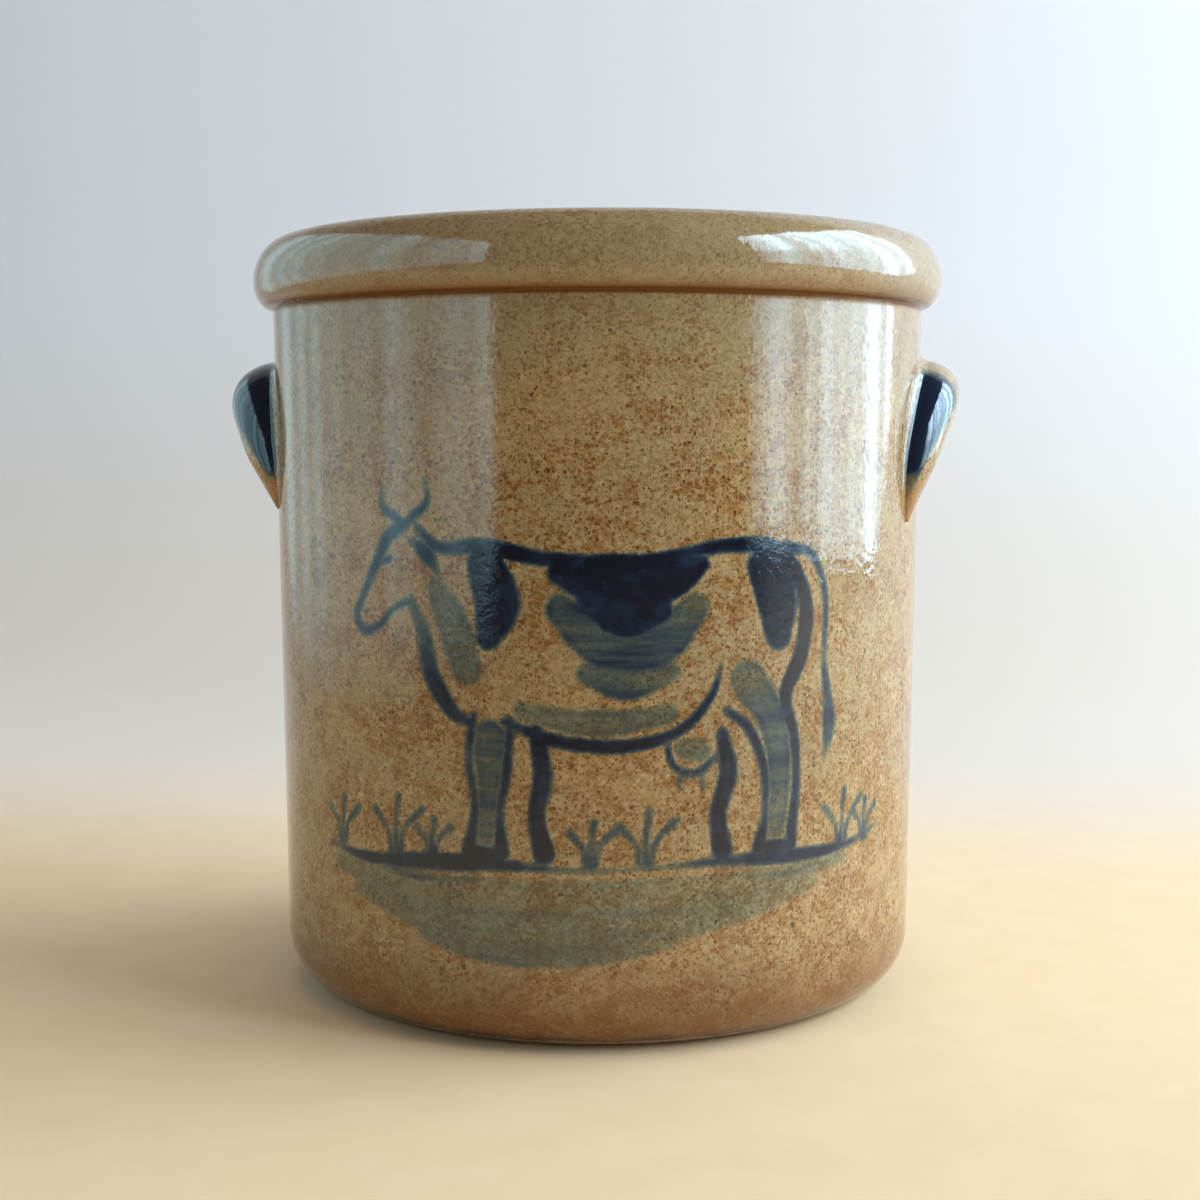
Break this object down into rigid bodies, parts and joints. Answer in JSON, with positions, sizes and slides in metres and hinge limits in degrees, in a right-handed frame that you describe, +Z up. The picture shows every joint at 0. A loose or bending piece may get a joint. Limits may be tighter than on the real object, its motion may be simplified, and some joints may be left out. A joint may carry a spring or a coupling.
{
  "type": "stoneware crock",
  "caption": "Open straight-sided stoneware crock with a rolled lip, arched lug handles and a rounded foot, for holding utensils or soft food.",
  "frame": {"origin": "middle of the footprint, on the table", "axes": "+X towards the right-hand lug handle, -Y towards the decorated front, +Z up"},
  "size_m": [0.175, 0.163, 0.1752],
  "materials": {
    "crock_glaze": "glossy speckled stoneware glaze over tan clay, cobalt brushwork on the front, bare clay foot ring",
    "lug_glaze": "glossy cobalt blue brushed over the faces, tan glaze left along the top and outer edge"
  },
  "bodies": {
    "root": {"crock_body": "crock_glaze", "left_lug_handle": "lug_glaze", "right_lug_handle": "lug_glaze"}
  },
  "joints": []
}
